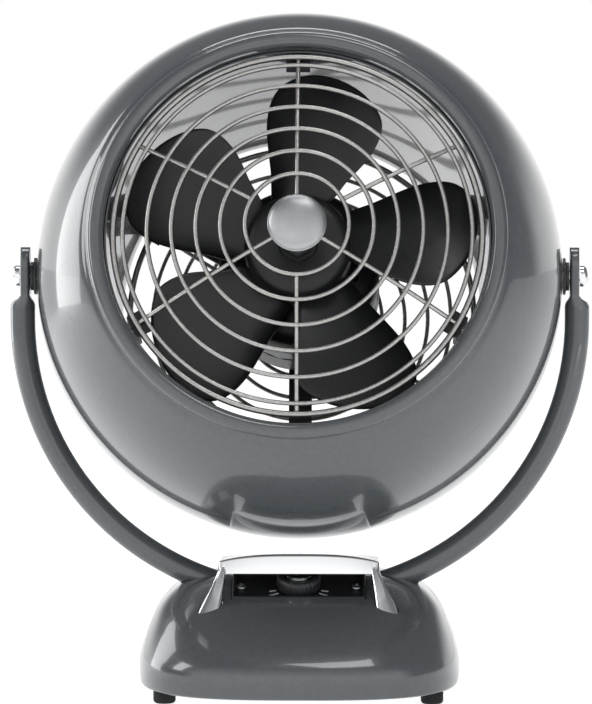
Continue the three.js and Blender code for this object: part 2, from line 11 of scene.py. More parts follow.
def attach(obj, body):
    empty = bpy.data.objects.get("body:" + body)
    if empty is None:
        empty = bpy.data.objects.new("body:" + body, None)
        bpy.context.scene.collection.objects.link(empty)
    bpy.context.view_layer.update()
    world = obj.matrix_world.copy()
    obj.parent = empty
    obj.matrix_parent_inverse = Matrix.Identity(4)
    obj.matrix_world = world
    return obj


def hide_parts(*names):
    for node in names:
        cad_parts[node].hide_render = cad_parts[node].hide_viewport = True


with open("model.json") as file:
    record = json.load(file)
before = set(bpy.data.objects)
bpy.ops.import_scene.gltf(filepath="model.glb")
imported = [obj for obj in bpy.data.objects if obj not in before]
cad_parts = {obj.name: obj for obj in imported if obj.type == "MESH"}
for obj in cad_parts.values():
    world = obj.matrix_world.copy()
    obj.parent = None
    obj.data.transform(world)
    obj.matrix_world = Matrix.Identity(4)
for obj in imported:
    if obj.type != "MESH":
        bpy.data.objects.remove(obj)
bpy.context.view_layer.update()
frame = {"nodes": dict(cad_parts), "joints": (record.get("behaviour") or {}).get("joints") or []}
joints = {joint["name"]: joint for joint in frame["joints"]}
MM = 0.001

# ---- Studio --------------------------------------------------------------------------------------
# The camera stands 2.2 m in front of the fan, a little above its middle, with a long lens. The fan is
# on white paper, between two white screens. Two soft boxes light it from the left and two from above,
# and a low one at the right lifts the shadows without showing in the gloss.
CAMERA_PLACE = (0.031, -2.2, 0.329)
CAMERA_LENS = 219
CAMERA_DOWN = 4.03
CAMERA_LEFT = 0.857
AIM = (0, 0, 0.2)
FLOOR_HALF = 6
FLOOR_GLOW = 0.45
FLOOR_GLOW_SEEN = 0.75
ROOM_STRENGTH = 1.1

camera = bpy.data.objects.new("camera", bpy.data.cameras.new("camera"))
bpy.context.scene.collection.objects.link(camera)
camera.data.lens = CAMERA_LENS
camera.location = CAMERA_PLACE
camera.rotation_euler = (radians(90 - CAMERA_DOWN), 0, radians(CAMERA_LEFT))
bpy.context.scene.camera = camera
bpy.context.scene.view_settings.view_transform = "Standard"


def linear(code):
    """An sRGB hex colour as the linear RGBA that shaders take."""
    parts = [int(code[i:i + 2], 16) / 255 for i in (1, 3, 5)]
    return [c / 12.92 if c < 0.04045 else ((c + 0.055) / 1.055) ** 2.4 for c in parts] + [1]


def add_node(tree, kind, settings=None, values=None, links=None):
    """Adds a shader node with its settings, its socket values and the links into it."""
    node = tree.nodes.new(kind)
    for name, value in (settings or {}).items():
        setattr(node, name, value)
    for socket, value in (values or {}).items():
        node.inputs[socket].default_value = value
    for socket, source in (links or {}).items():
        tree.links.new(source, node.inputs[socket])
    return node


def soft_box(name, place, size, power, in_gloss=True):
    """A rectangular soft light of so many watts that faces the middle of the fan."""
    light = bpy.data.lights.new(name, "AREA")
    light.shape = "RECTANGLE"
    light.size, light.size_y = size
    light.energy = power
    lamp = bpy.data.objects.new(name, light)
    bpy.context.scene.collection.objects.link(lamp)
    lamp.location = place
    lamp.rotation_euler = (Vector(AIM) - Vector(place)).to_track_quat("-Z", "Y").to_euler()
    lamp.visible_glossy = in_gloss


soft_box("soft_box_left", (-1.3, 0.66, 0.42), (0.56, 1.6), 9)
soft_box("soft_box_window", (-1.36, -0.26, 0.78), (0.4, 0.8), 5)
soft_box("soft_box_above", (0, 0.5, 1.55), (1.1, 0.35), 6)
soft_box("soft_box_front", (0.28, -0.62, 1.62), (0.6, 0.35), 3)
soft_box("soft_box_low", (1.0, -1.2, 0.14), (0.5, 0.3), 4.5, in_gloss=False)

world = bpy.data.worlds.new("pale_room")
world.use_nodes = True
bpy.context.scene.world = world
room = world.node_tree
room.nodes.clear()
# The screens: one fills the view behind the fan, the other fades upwards in front of it.
direction = add_node(room, "ShaderNodeTexCoord")
axes = add_node(room, "ShaderNodeSeparateXYZ", links={0: direction.outputs["Generated"]})
behind = add_node(room, "ShaderNodeMapRange", {"interpolation_type": "SMOOTHSTEP"},
                  {"From Min": 0.52, "From Max": 0.7}, {"Value": axes.outputs["Y"]})
in_front = add_node(room, "ShaderNodeMapRange", {"interpolation_type": "SMOOTHSTEP"},
                    {"From Min": -0.3, "From Max": -0.6}, {"Value": axes.outputs["Y"]})
low_behind = add_node(room, "ShaderNodeMapRange", {"interpolation_type": "SMOOTHSTEP"},
                      {"From Min": 0.4, "From Max": 0.1}, {"Value": axes.outputs["Z"]})
low_in_front = add_node(room, "ShaderNodeMapRange", values={"From Min": 0.95, "From Max": 0.25},
                        links={"Value": axes.outputs["Z"]})
screen_behind = add_node(room, "ShaderNodeMath", {"operation": "MULTIPLY"},
                         links={0: behind.outputs[0], 1: low_behind.outputs[0]})
screens = add_node(room, "ShaderNodeMath", {"operation": "MULTIPLY_ADD", "use_clamp": True},
                   links={0: in_front.outputs[0], 1: low_in_front.outputs[0],
                          2: screen_behind.outputs[0]})
walls = add_node(room, "ShaderNodeMix", {"data_type": "RGBA"},
                 {"A": linear("#6c6e71"), "B": linear("#ffffff")}, {"Factor": screens.outputs[0]})
lit = add_node(room, "ShaderNodeBackground", values={"Strength": ROOM_STRENGTH},
               links={"Color": walls.outputs["Result"]})
seen = add_node(room, "ShaderNodeBackground", values={"Color": (1, 1, 1, 1), "Strength": 1.0})
ray = add_node(room, "ShaderNodeLightPath")
mix = add_node(room, "ShaderNodeMixShader", links={
    0: ray.outputs["Is Camera Ray"], 1: lit.outputs[0], 2: seen.outputs[0]})
add_node(room, "ShaderNodeOutputWorld", links={"Surface": mix.outputs[0]})

bm = bmesh.new()
bmesh.ops.create_grid(bm, x_segments=1, y_segments=1, size=FLOOR_HALF)
floor_mesh = bpy.data.meshes.new("floor")
bm.to_mesh(floor_mesh)
bm.free()
floor = bpy.data.objects.new("floor", floor_mesh)
bpy.context.scene.collection.objects.link(floor)
# White paper: matt and even, with a glow of its own that keeps it white where the fan shades it.
paper = bpy.data.materials.new("white_paper")
paper.use_nodes = True
paper_shader = paper.node_tree.nodes["Principled BSDF"]
paper_shader.inputs["Base Color"].default_value = linear("#f4f4f4")
paper_shader.inputs["Roughness"].default_value = 0.9
paper_shader.inputs["Emission Color"].default_value = (1, 1, 1, 1)
paper_ray = add_node(paper.node_tree, "ShaderNodeLightPath")
glow = add_node(paper.node_tree, "ShaderNodeMapRange",
                values={"To Min": FLOOR_GLOW, "To Max": FLOOR_GLOW_SEEN},
                links={"Value": paper_ray.outputs["Is Camera Ray"]})
paper.node_tree.links.new(glow.outputs[0], paper_shader.inputs["Emission Strength"])
floor.data.materials.append(paper)

# ---- Base ----------------------------------------------------------------------------------------
# A deep-drawn steel dome, squared off in plan, with a longer slope in front and a skirt turned in at its
# foot. It is stoved in grey enamel, with openings for the yoke, the hood's legs and the control tray.
SECTIONS = [
    # height, half width, reach to the front, reach to the rear
    (6, 80.5, 86, 90), (8, 82, 87.5, 92), (18, 82.3, 88, 92), (25, 80.9, 84, 90), (35, 77.3, 73, 84),
    (45.5, 71.9, 57, 75), (54, 62.4, 38, 62), (58, 50, 26, 50), (60, 34, 12, 34), (60.5, 0, 0, 0),
]
BASE_WALL = 1.8
BASE_CORNERS = 2 / 3
CLEARANCE = 0.6
PANEL_SLOPE = 22
PANEL = Matrix.Translation(joints["knob_turn"]["pos_m"]) @ Matrix.Rotation(radians(PANEL_SLOPE), 4, "X")
TRAY_HALF = (34, 14.5)
TRAY_GAP = 0.35
INLET_Z = 18
INLET = Matrix.Translation((0, 0, INLET_Z * MM)) @ Matrix.Rotation(-pi / 2, 4, "X")
TUBE_R = 6.35
YOKE_HALF = 142.6
BEND_Z = 190.5
LEG_TOP = Vector((38.18, -34.5, 67))
LEG_HALF = (1.83, 2.8)
LEG_OUT = 0.32
LEG_FORWARD = 0.62
LEG_WIDENS = 0.17
LEG_CORNERS = 0.85


def coat(name, colour, **sockets):
    """A new material with an even colour, and these values on its shader's own sockets."""
    material = bpy.data.materials.new(name)
    material.use_nodes = True
    shader = material.node_tree.nodes["Principled BSDF"]
    shader.inputs["Base Color"].default_value = linear(colour)
    for socket, value in sockets.items():
        shader.inputs[socket.replace("_", " ")].default_value = value
    return material


def grain(material, pitch, tones=None, rough=None, bump=0.0, stretch=(1, 1, 1)):
    """Gives a material a grain of this pitch in millimetres: two tones, two roughnesses, a relief."""
    tree = material.node_tree
    shader = tree.nodes["Principled BSDF"]
    place = add_node(tree, "ShaderNodeTexCoord")
    scaled = add_node(tree, "ShaderNodeMapping", values={"Scale": stretch},
                      links={"Vector": place.outputs["Object"]})
    noise = add_node(tree, "ShaderNodeTexNoise", values={"Scale": 1 / (pitch * MM), "Detail": 3.0},
                     links={"Vector": scaled.outputs[0]})
    if tones:
        ramp = add_node(tree, "ShaderNodeValToRGB", links={"Fac": noise.outputs["Fac"]})
        ramp.color_ramp.elements[0].position = 0.35
        ramp.color_ramp.elements[0].color = linear(tones[0])
        ramp.color_ramp.elements[1].position = 0.65
        ramp.color_ramp.elements[1].color = linear(tones[1])
        tree.links.new(ramp.outputs["Color"], shader.inputs["Base Color"])
    if rough:
        spread = add_node(tree, "ShaderNodeMapRange", values={"To Min": rough[0], "To Max": rough[1]},
                          links={"Value": noise.outputs["Fac"]})
        tree.links.new(spread.outputs[0], shader.inputs["Roughness"])
    if bump:
        relief = add_node(tree, "ShaderNodeBump",
                          values={"Strength": bump, "Distance": pitch * MM / 4},
                          links={"Height": noise.outputs["Fac"]})
        tree.links.new(relief.outputs[0], shader.inputs["Normal"])
    return material


# Stoved enamel: a glassy coat over even grey, with an orange peel about 3 mm across.
ENAMEL = grain(
    coat("grey_stoved_enamel", "#4d5154", IOR=1.5, Coat_Weight=1.0, Coat_Roughness=0.04, Coat_IOR=1.5),
    3.0, tones=("#4b4f52", "#4f5356"), rough=(0.2, 0.28), bump=0.006)


def sheet(bm, around, along, place):
    """Adds a grid and moves each of its points (u, v), both from 0 to 1, to its place in mm."""
    points = bmesh.ops.create_grid(bm, x_segments=around, y_segments=along, size=0.5)["verts"]
    for point in points:
        point.co = place(point.co.x + 0.5, point.co.y + 0.5) * MM
    bmesh.ops.remove_doubles(bm, verts=points, dist=1e-7)


def close_ends(bm):
    """Closes every open loop of edges with one face."""
    bmesh.ops.holes_fill(bm, edges=[edge for edge in bm.edges if edge.is_boundary], sides=0)


def smooth_list(rows, t):
    """A smooth curve through rows of numbers, at t from 0 to the last row's index."""
    i = min(int(t), len(rows) - 2)
    f = t - i
    near = [rows[max(0, min(len(rows) - 1, k))] for k in (i - 1, i, i + 1, i + 2)]
    return [b + 0.5 * f * (c - a + f * (2 * a - 5 * b + 4 * c - d + f * (3 * (b - c) + d - a)))
            for a, b, c, d in zip(*near)]


def squared(value, power):
    """One coordinate of a round outline, squared off by a power below 1."""
    return (1 if value > 0 else -1) * abs(value) ** power


def dome(bm, inset):
    """The base's outer form, or the hollow under it when inset and sunk by as much, closed below."""
    last = len(SECTIONS) - 1

    def place(u, v):
        z, half, front, rear = smooth_list(SECTIONS, last * v)
        x = squared(cos(2 * pi * u), BASE_CORNERS)
        y = squared(sin(2 * pi * u), BASE_CORNERS)
        reach = front if y < 0 else rear
        return Vector((x * max(half - inset, 0), y * max(reach - inset, 0), z - inset))
    sheet(bm, 160, 70, place)
    close_ends(bm)


def rod(bm, radius, low, high, place):
    """Adds a closed cylinder along the Z axis of its place."""
    middle = Matrix.Translation((0, 0, (low + high) / 2 * MM))
    bmesh.ops.create_cone(bm, cap_ends=True, segments=32, radius1=radius * MM, radius2=radius * MM,
                          depth=(high - low) * MM, matrix=place @ middle)


def block(bm, low, high, place=Matrix.Identity(4)):
    """Adds a box between two corners."""
    middle = Matrix.Translation([(a + b) / 2 * MM for a, b in zip(low, high)])
    size = Matrix.Diagonal([(b - a) * MM for a, b in zip(low, high)] + [1])
    bmesh.ops.create_cube(bm, size=1, matrix=place @ middle @ size)


def yoke_arc(bm, reach, radius):
    """A round bar along the yoke's half circle, this many degrees either side of its lowest point."""
    def place(u, v):
        angle = radians(reach * (2 * v - 1))
        out = Vector((sin(angle), 0, -cos(angle)))
        across = out * cos(2 * pi * u) + Vector((0, 1, 0)) * sin(2 * pi * u)
        return Vector((0, 0, BEND_Z)) + out * YOKE_HALF + across * radius
    sheet(bm, 40, 24, place)
    close_ends(bm)


def hood_leg(bm, side, margin, foot=40):
    """One leg of the hood: it leans forwards and outwards and widens towards its foot."""
    def place(u, v):
        drop = (LEG_TOP.z - foot) * v
        x = squared(cos(2 * pi * u), LEG_CORNERS) * (LEG_HALF[0] + drop * LEG_WIDENS + margin)
        y = squared(sin(2 * pi * u), LEG_CORNERS) * (LEG_HALF[1] + margin)
        return Vector((side * (LEG_TOP.x + drop * LEG_OUT) + x, LEG_TOP.y - drop * LEG_FORWARD + y,
                       LEG_TOP.z - drop))
    sheet(bm, 48, 24, place)
    close_ends(bm)


def solid_object(bm):
    """A scene object made from a bmesh whose faces point outwards."""
    bmesh.ops.recalc_face_normals(bm, faces=bm.faces)
    mesh = bpy.data.meshes.new("work")
    bm.to_mesh(mesh)
    bm.free()
    thing = bpy.data.objects.new("work", mesh)
    bpy.context.scene.collection.objects.link(thing)
    return thing


def combine(bm, others, operation="DIFFERENCE"):
    """Cuts closed meshes out of a closed mesh, or joins them to it, and returns the result."""
    body = solid_object(bm)
    tools = [solid_object(other) for other in others]
    for tool in tools:
        step = body.modifiers.new("step", "BOOLEAN")
        step.object = tool
        step.operation = operation
        step.solver = "EXACT"
    made = body.evaluated_get(bpy.context.evaluated_depsgraph_get()).to_mesh()
    result = bmesh.new()
    result.from_mesh(made)
    for thing in [body, *tools]:
        bpy.data.objects.remove(thing)
    return result


def soften(bm, width, segments=2):
    """Rounds the edges of a mesh that turn by over 30 degrees, by a width in millimetres."""
    edges = [e for e in bm.edges if e.is_manifold and e.calc_face_angle() > radians(30)]
    bmesh.ops.bevel(bm, geom=edges, offset=width * MM, segments=segments, profile=0.5,
                    affect="EDGES", material=-1, clamp_overlap=True)


def fit(name, bm, material, body, slot, *nodes, sharp=35):
    """Makes a bmesh a piece of the fan: it rides on a body and stands for its CAD nodes."""
    bmesh.ops.remove_doubles(bm, verts=bm.verts, dist=1e-7)
    bmesh.ops.recalc_face_normals(bm, faces=bm.faces)
    mesh = bpy.data.meshes.new(name)
    bm.to_mesh(mesh)
    bm.free()
    mesh.materials.append(material)
    mesh.shade_smooth()
    mesh.set_sharp_from_angle(angle=radians(sharp))
    piece = bpy.data.objects.new(name, mesh)
    bpy.context.scene.collection.objects.link(piece)
    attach(piece, body)
    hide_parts(*nodes)


shell = bmesh.new()
dome(shell, 0)
hollow = bmesh.new()
dome(hollow, BASE_WALL)
openings = bmesh.new()
yoke_arc(openings, 34, TUBE_R + CLEARANCE)
legs = bmesh.new()
for side in (-1, 1):
    hood_leg(legs, side, CLEARANCE, foot=36)
tray_space = bmesh.new()
block(tray_space, (-TRAY_HALF[0] - TRAY_GAP, -TRAY_HALF[1] - TRAY_GAP, -6),
      (TRAY_HALF[0] + TRAY_GAP, TRAY_HALF[1] + TRAY_GAP, 12), PANEL)
inlet = bmesh.new()
rod(inlet, 5, 80, 98, INLET)
fit("base", combine(shell, [hollow, openings, legs, tray_space, inlet]), ENAMEL,
    "base", "grey_enamel", "base_shell")

# ---- Bottom plate, feet and inlet ----------------------------------------------------------------
# A zinc-plated steel plate closes the base. Four turned rubber feet plug into it, two screws hold it
# to the shell, and a moulded rubber bush lines the hole for the mains lead.
PLATE_Z = (6.2, 8.6)
PLATE_HALF = 78.1
PLATE_FRONT = 83.6
PLATE_REAR = 87.6
PLATE_SCREWS = (-66, 72)
FEET = {"foot_front_left": (-67.6, -54), "foot_front_right": (67.6, -54),
        "foot_rear_left": (-67.6, 58), "foot_rear_right": (67.6, 58)}

# Bright zinc plate: a pale, slightly mottled metal with a soft gloss.
ZINC = grain(coat("bright_zinc_plate", "#c3c6c8", Metallic=1.0), 4, tones=("#b4b8bb", "#cdd0d1"),
             rough=(0.24, 0.38), bump=0.01)
# Moulded rubber: near black and matt, with a fine bloom.
RUBBER = grain(coat("moulded_black_rubber", "#17181a", IOR=1.5), 0.6, tones=("#141517", "#1d1e20"),
               rough=(0.7, 0.88), bump=0.06)


def turn(bm, outline, place=Matrix.Identity(4), steps=64):
    """Spins an outline of [radius, height] about the Z axis of its place, and closes it."""
    points = [bm.verts.new(place @ Vector((r * MM, 0, h * MM))) for r, h in outline]
    pairs = list(zip(points, points[1:]))
    if outline[0][0] or outline[-1][0]:
        pairs.append((points[-1], points[0]))
    edges = [bm.edges.new(pair) for pair in pairs]
    bmesh.ops.spin(bm, geom=points + edges, cent=place.translation, angle=2 * pi, steps=steps,
                   axis=place.to_3x3() @ Vector((0, 0, 1)), use_merge=True)
    bmesh.ops.remove_doubles(bm, verts=bm.verts, dist=1e-7)


def plate_edge(u, v):
    """A point on the plate's rim, which follows the base's skirt."""
    x = squared(cos(2 * pi * u), BASE_CORNERS) * PLATE_HALF
    y = squared(sin(2 * pi * u), BASE_CORNERS)
    reach = PLATE_FRONT if y < 0 else PLATE_REAR
    return Vector((x, y * reach, PLATE_Z[0] + (PLATE_Z[1] - PLATE_Z[0]) * v))


plate = bmesh.new()
sheet(plate, 128, 1, plate_edge)
close_ends(plate)
plate_holes = bmesh.new()
for x, y in FEET.values():
    rod(plate_holes, 2.8, 0, 20, Matrix.Translation((x * MM, y * MM, 0)))
for y in PLATE_SCREWS:
    rod(plate_holes, 2, 0, 20, Matrix.Translation((0, y * MM, 0)))
fit("bottom_plate", combine(plate, [plate_holes]), ZINC, "base", "steel", "base_plate")

for name, (x, y) in FEET.items():
    foot = bmesh.new()
    turn(foot, [[0, 0], [4.4, 0], [5.2, 0.5], [5.7, 1.4], [5.7, 5.85], [2.4, 5.85], [2.4, 9.4], [0, 9.4]],
         Matrix.Translation((x * MM, y * MM, 0)), 32)
    soften(foot, 0.25)
    fit(name + "_rubber", foot, RUBBER, "base", "rubber", name)

bush = bmesh.new()
turn(bush, [[2.6, 86], [4.6, 86], [4.6, 92.4], [6.8, 92.4], [6.7, 93.4], [6.2, 94.4], [2.6, 94.4]],
     INLET, 40)
soften(bush, 0.35)
fit("inlet_bush", bush, RUBBER, "base", "rubber", "cord_inlet_bush")

# ---- Yoke ----------------------------------------------------------------------------------------
# One steel tube bent to a half circle. Both ends are pressed flat into round-ended tabs that carry
# the pivot screws. It is enamelled with the base, and clamped down inside it.
PIVOT_Z = joints["head_tilt"]["pos_m"][2] / MM
TAB_MID = 141.1
TAB_HALF = 8.5
TAB_THICK = 2.5
TAB_TOP = 228
FLAT_Z = 198.5
FLAT_RUN = 5
FLAT_CORNERS = 0.38
ARM_STEPS = 30
BEND_STEPS = 40


def yoke_station(index):
    """Along one arm from the lowest point: centre, way out, half sizes out and across, squareness."""
    if index <= BEND_STEPS:
        turn_by = pi / 2 * index / BEND_STEPS
        out = Vector((sin(turn_by), 0, -cos(turn_by)))
        return Vector((0, 0, BEND_Z)) + out * YOKE_HALF, out, TUBE_R, TUBE_R, 1.0
    f = (index - BEND_STEPS) / ARM_STEPS
    z = BEND_Z + (TAB_TOP - BEND_Z) * (1 - (1 - f) ** 1.6)
    flat = min(max((z - FLAT_Z) / FLAT_RUN, 0), 1)
    flat = flat * flat * (3 - 2 * flat)
    end = max(z - (TAB_TOP - TAB_HALF), 0)
    across = TUBE_R + (TAB_HALF - TUBE_R) * flat
    across = across * sqrt(max(1 - (end / TAB_HALF) ** 2, 0.002))
    centre = Vector((YOKE_HALF + (TAB_MID - YOKE_HALF) * flat, 0, z))
    thick = TUBE_R + (TAB_THICK - TUBE_R) * flat
    return centre, Vector((1, 0, 0)), thick, across, 1 - (1 - FLAT_CORNERS) * flat


def yoke_place(u, v):
    """A point on the yoke, from the left tab round to the right one."""
    last = BEND_STEPS + ARM_STEPS
    step = round((2 * v - 1) * last)
    centre, out, thick, across, power = yoke_station(abs(step))
    point = centre + out * squared(cos(2 * pi * u), power) * thick
    point.y = squared(sin(2 * pi * u), power) * across
    if step < 0:
        point.x = -point.x
    return point


yoke = bmesh.new()
sheet(yoke, 48, 2 * (BEND_STEPS + ARM_STEPS), yoke_place)
close_ends(yoke)
pivot_holes = bmesh.new()
for turn_by in (90, -90):
    rod(pivot_holes, 2.9, 130, 150, Matrix.Translation((0, 0, PIVOT_Z * MM)) @
        Matrix.Rotation(radians(turn_by), 4, "Y"))
fit("yoke", combine(yoke, [pivot_holes]), ENAMEL, "base", "grey_enamel", "yoke_tube")

# ---- Hood ----------------------------------------------------------------------------------------
# A pressed brass hood over the speed knob: arched in front, lower behind, open underneath. Two legs
# run forwards from it into slots in the base and widen on the way. All of it is polished and chromed.
HOOD_LOW = 63.7
HOOD_CROWN = 73.6
HOOD_FRONT = -38
HOOD_REAR = 15.6
HOOD_HALF = 41
HOOD_SHEET = 1.8
HOOD_EDGE = 1.5
SIDE_FALL = 0.38
REAR_FALL = 0.55
FRONT_LEAN = 0.16
CUT_PITCH = (2.03, 6.1)

# Polished chrome: a clean bright mirror with a trace of haze from wiping.
CHROME = grain(coat("polished_chrome", "#f5f6f7", Metallic=1.0), 12, rough=(0.03, 0.09))


def arch(point):
    """Lowers the hood towards its sides and its rear."""
    x, y, z = (c / MM for c in point)
    back = (y - HOOD_FRONT) / (HOOD_REAR - HOOD_FRONT)
    rise = (z - HOOD_LOW) * (1 - SIDE_FALL * abs(x / HOOD_HALF) ** 3) * (1 - REAR_FALL * back)
    lean = FRONT_LEAN * (z - HOOD_LOW) * (1 - back) ** 4
    return Vector((x, y + lean, HOOD_LOW + rise)) * MM


def hood_form(bm, inset, low, edge):
    """The hood's outer form, or the hollow under it when inset, closed and with rounded edges."""
    block(bm, (inset - HOOD_HALF, HOOD_FRONT + inset, low),
          (HOOD_HALF - inset, HOOD_REAR - inset, HOOD_CROWN - inset))
    rounded = [e for e in bm.edges if max(v.co.z for v in e.verts) > (low + 1) * MM]
    bmesh.ops.bevel(bm, geom=rounded, offset=edge * MM, segments=4, profile=0.5,
                    affect="EDGES", material=-1)
    for i in range(-20, 21):
        bmesh.ops.bisect_plane(bm, geom=bm.verts[:] + bm.edges[:] + bm.faces[:],
                               plane_co=(i * CUT_PITCH[0] * MM, 0, 0), plane_no=(1, 0, 0))
    for i in range(-6, 3):
        bmesh.ops.bisect_plane(bm, geom=bm.verts[:] + bm.edges[:] + bm.faces[:],
                               plane_co=(0, i * CUT_PITCH[1] * MM, 0), plane_no=(0, 1, 0))
    for vert in bm.verts:
        vert.co = arch(vert.co)


cap = bmesh.new()
hood_form(cap, 0, HOOD_LOW, HOOD_EDGE)
under = bmesh.new()
hood_form(under, HOOD_SHEET, HOOD_LOW - 3, 0.4)
leg_pair = bmesh.new()
for side in (-1, 1):
    hood_leg(leg_pair, side, 0)
cap = combine(combine(cap, [under]), [leg_pair], "UNION")
fit("chrome_hood", cap, CHROME, "base", "chrome", "hood", sharp=40)

# ---- Control tray and knob -----------------------------------------------------------------------
# A moulded black tray holds the dial, with printed ticks round its knob and a screw at either end. The
# knob is fluted ABS with a chromed cap, pushed on to the switch's steel shaft.
FLUTES = 30
FLUTE_DEPTH = 0.32
TICK_START = 12.0
TRAY_SCREW_X = 29.5

# Moulded ABS: satin black, with the fine spark texture of its mould.
BLACK_ABS = grain(coat("moulded_black_abs", "#1b1c1e", IOR=1.53), 0.5, tones=("#18191b", "#1f2022"),
                  rough=(0.34, 0.46), bump=0.05)
# Pad-printed ink: pale grey and nearly matt.
TICK_INK = grain(coat("pale_grey_ink", "#b9bcbe", IOR=1.45), 0.4, tones=("#b0b3b5", "#c2c5c7"),
                 rough=(0.5, 0.65))
# Turned mild steel: mid grey with a fine, slightly uneven sheen.
STEEL = grain(coat("turned_mild_steel", "#8e9193", Metallic=1.0), 1.2, tones=("#83878a", "#989b9d"),
              rough=(0.28, 0.42), bump=0.02)

tray = bmesh.new()
block(tray, (-TRAY_HALF[0], -TRAY_HALF[1], -2.2), (TRAY_HALF[0], TRAY_HALF[1], 2.4))
soften(tray, 1.0, segments=3)
top = max(tray.faces, key=lambda face: face.calc_center_median().z + face.calc_area())
bmesh.ops.inset_individual(tray, faces=[top], thickness=1.1 * MM)
bmesh.ops.inset_individual(tray, faces=[top], thickness=0.12 * MM, depth=-2.6 * MM)
bmesh.ops.transform(tray, matrix=PANEL, verts=tray.verts)
tray_holes = bmesh.new()
rod(tray_holes, 3.9, -10, 10, PANEL)
for x in (-TRAY_SCREW_X, TRAY_SCREW_X):
    rod(tray_holes, 1.8, -10, 10, PANEL @ Matrix.Translation((x * MM, 0, 0)))
fit("control_tray", combine(tray, [tray_holes]), BLACK_ABS, "base", "black_plastic", "dial_tray")

ticks = bmesh.new()
for degrees in range(-75, 76, 15):
    turned = PANEL @ Matrix.Rotation(radians(degrees), 4, "Z")
    outer = min(17.0 if degrees % 30 == 0 else 15.5, 12.6 / max(cos(radians(degrees)), 0.1))
    block(ticks, (-0.35, -outer, -0.3), (0.35, -TICK_START, 0.05), turned)
fit("dial_ticks", ticks, TICK_INK, "base", "black_plastic")


def screw_head(name, radius, height, place, material, body, slot, node, shank):
    """A domed screw with a cross recess; shank is its radius and length."""
    head = bmesh.new()
    dome_line = [[radius * cos(radians(a)), height * (0.35 + 0.65 * sin(radians(a)))]
                 for a in range(0, 91, 15)]
    turn(head, [[0, -shank[1]], [shank[0], -shank[1]], [shank[0], 0], [radius * 0.97, 0], *dome_line],
         place, 40)
    cross = bmesh.new()
    arm = radius * 0.62
    thin = radius * 0.12
    block(cross, (-arm, -thin, height * 0.55), (arm, thin, height + 1), place)
    other = bmesh.new()
    block(other, (-thin, -arm, height * 0.55), (thin, arm, height + 1), place)
    fit(name, combine(head, [cross, other]), material, body, slot, node)


for side, x in (("right", TRAY_SCREW_X), ("left", -TRAY_SCREW_X)):
    screw_head("tray_screw_" + side, 2.7, 1.45, PANEL @ Matrix.Translation((x * MM, 0, 0.15 * MM)),
               ZINC, "base", "zinc", "dial_screw_" + side, (1.4, 7.0))

knob = bmesh.new()
turn(knob, [[3.4, 2.6], [8.8, 2.6], [8.8, 0.7], [10.9, 0.7], [11.3, 0.9], [11.5, 1.4], [11.5, 3],
            [11.45, 5.6], [11.2, 6.6], [10.4, 7.4], [9.4, 7.7], [7.9, 7.5], [7.4, 6.5], [3.4, 6.5]],
     steps=6 * FLUTES)
for vert in knob.verts:
    x, y, z = (c / MM for c in vert.co)
    radius = sqrt(x * x + y * y)
    if radius > 10.8:
        wave = ((x + 1j * y) / radius) ** FLUTES
        depth = 1 - FLUTE_DEPTH * (0.5 - 0.5 * wave.real) / radius
        vert.co.x *= depth
        vert.co.y *= depth
bmesh.ops.transform(knob, matrix=PANEL, verts=knob.verts)
fit("knob", knob, BLACK_ABS, "knob", "black_plastic", "speed_knob")

knob_top = bmesh.new()
turn(knob_top, [[0, 6.85], [6.9, 6.85], [7.0, 7.2], [6.9, 7.9], [6.4, 8.35], [5.7, 8.5], [5.0, 8.3],
                [4.5, 7.8], [3.6, 7.6], [0, 7.5]], PANEL, 64)
fit("knob_chrome_cap", knob_top, CHROME, "knob", "chrome", "knob_cap")

# ---- Housing and duct ----------------------------------------------------------------------------
# Two steel halves spun to a flattened ball, welded and dressed, with beads rolled at the front mouth
# and at the rear one. A sheet steel duct fits between the beads. All of it is enamelled.
AIR = Vector(joints["propeller_spin"]["axis"])
TILT = asin(AIR.z / AIR.length)
HEAD = (Matrix.Translation(joints["head_tilt"]["pos_m"]) @ Matrix.Rotation(-TILT, 4, "X") @
        Matrix.Rotation(pi / 2, 4, "X"))
BALL_R = 135
BALL_DEPTH = 137
BEAD = (100.4, 86)
BEAD_R = 4
SHEET = 1


def hour(degrees):
    """The head's place turned about the fan's axis, clockwise as seen from the front."""
    return HEAD @ Matrix.Rotation(radians(-degrees), 4, "Z")


def arc(r, h, radius, start, end, steps):
    """Points of an arc in an outline, by angle in degrees."""
    angles = [radians(start + (end - start) * i / steps) for i in range(steps + 1)]
    return [[r + radius * cos(a), h + radius * sin(a)] for a in angles]


def ball(start, end, inset, steps):
    """Points of the housing's round profile between two distances along the fan's axis."""
    angles = [asin(start / BALL_DEPTH) + (asin(end / BALL_DEPTH) - asin(start / BALL_DEPTH)) * i / steps
              for i in range(steps + 1)]
    return [[(BALL_R - inset) * cos(a), (BALL_DEPTH - inset) * sin(a)] for a in angles]


half = [
    *ball(0, 82.6, 0, 32),
    [106.6, 83.7], [105.4, 84.3], [104.75, 84.8],
    *arc(*BEAD, BEAD_R, -2, 180, 16),
    [BEAD[0] - BEAD_R, 68], [BEAD[0] - BEAD_R + SHEET, 68],
    *arc(*BEAD, BEAD_R - SHEET, 180, 20, 10),
    *ball(82.2, 0, SHEET, 32),
]
outer = half[:half.index([BEAD[0] - BEAD_R + SHEET, 68])]
inner = half[len(outer):]
outline = ([[r, -h] for r, h in reversed(outer[1:])] + outer + inner[:-1] +
           [[r, -h] for r, h in reversed(inner)])
housing = bmesh.new()
turn(housing, outline, HEAD, 192)
fit("housing", housing, ENAMEL, "head", "grey_enamel", "housing_shell", sharp=28)

